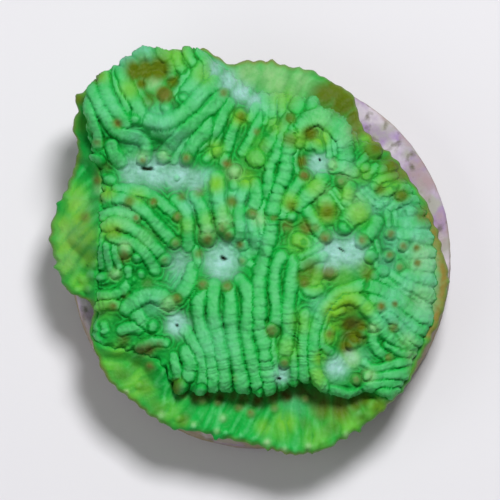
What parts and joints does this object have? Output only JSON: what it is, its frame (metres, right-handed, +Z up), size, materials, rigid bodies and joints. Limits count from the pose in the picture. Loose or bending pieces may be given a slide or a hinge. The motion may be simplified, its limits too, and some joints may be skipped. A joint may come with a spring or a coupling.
{
  "type": "chalice coral on a frag disc",
  "caption": "Ribbed chalice coral colony that crusts and overhangs a round ceramic frag disc, which rests flat on its foot.",
  "frame": {"origin": "centre of the frag disc's underside, on the surface that it rests on", "axes": "+Z up, +X to the right and +Y away from the viewer as the picture shows it"},
  "size_m": [0.0404, 0.0424, 0.0166],
  "materials": {
    "coral_flesh": "thin moist flesh over stony skeleton, soft sheen",
    "coralline_ceramic": "unglazed, crusted with pink and purple coralline algae, matte"
  },
  "bodies": {
    "root": {"coral_colony": "coral_flesh", "frag_disc": "coralline_ceramic"}
  },
  "joints": []
}
